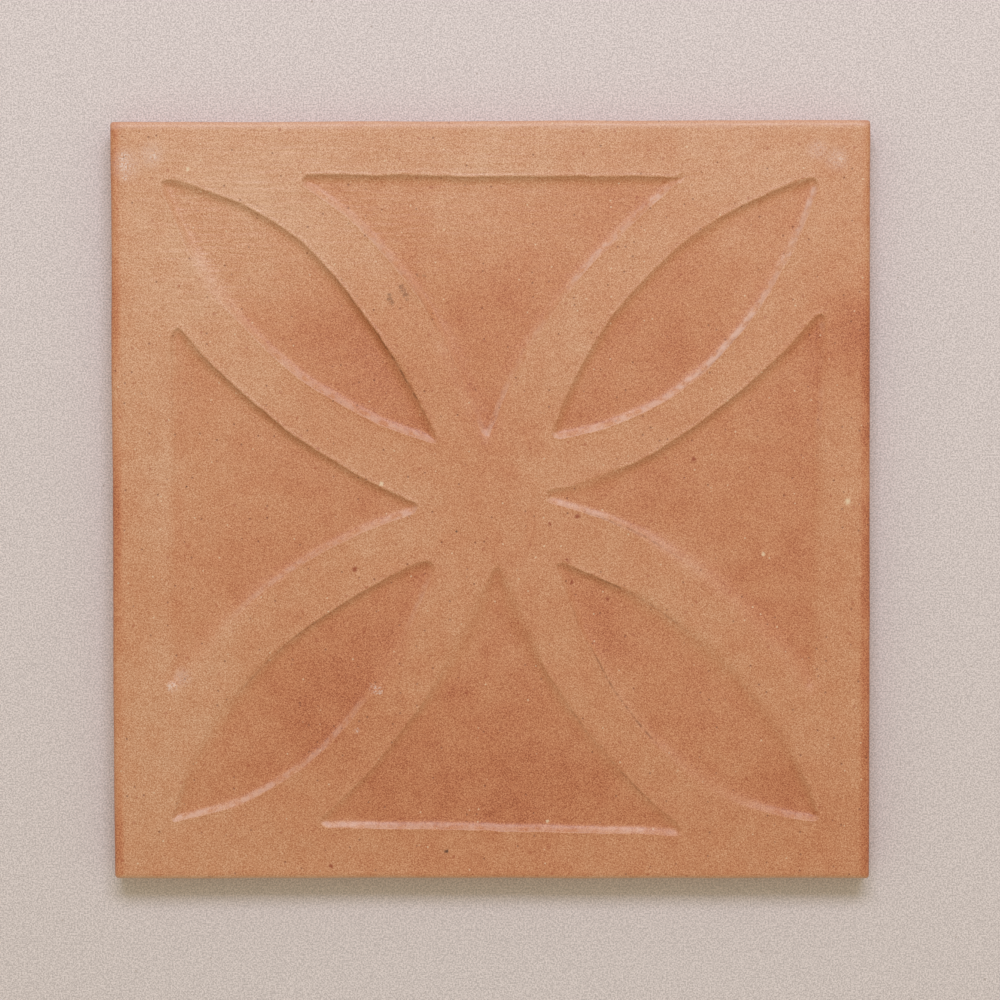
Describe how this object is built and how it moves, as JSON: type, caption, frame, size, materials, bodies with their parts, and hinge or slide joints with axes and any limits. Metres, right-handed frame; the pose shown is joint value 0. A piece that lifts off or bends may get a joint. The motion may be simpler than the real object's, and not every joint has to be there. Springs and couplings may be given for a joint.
{
  "type": "relief tile",
  "caption": "Square fired porcelain tile with a sunk compass-drawn petal-and-wedge pattern in its face, a soft cushion edge and a keyed back.",
  "frame": {"origin": "centre of the back's flat land, the face that is bedded in adhesive", "axes": "+Z out of the patterned face; +Y towards the edge that the picture shows at the top, +X towards its right edge"},
  "size_m": [0.2, 0.2, 0.01],
  "materials": {
    "fired_body": "unglazed, satin, terracotta-coloured through body with a fine grain"
  },
  "bodies": {
    "root": {"tile_body": "fired_body"}
  },
  "joints": []
}
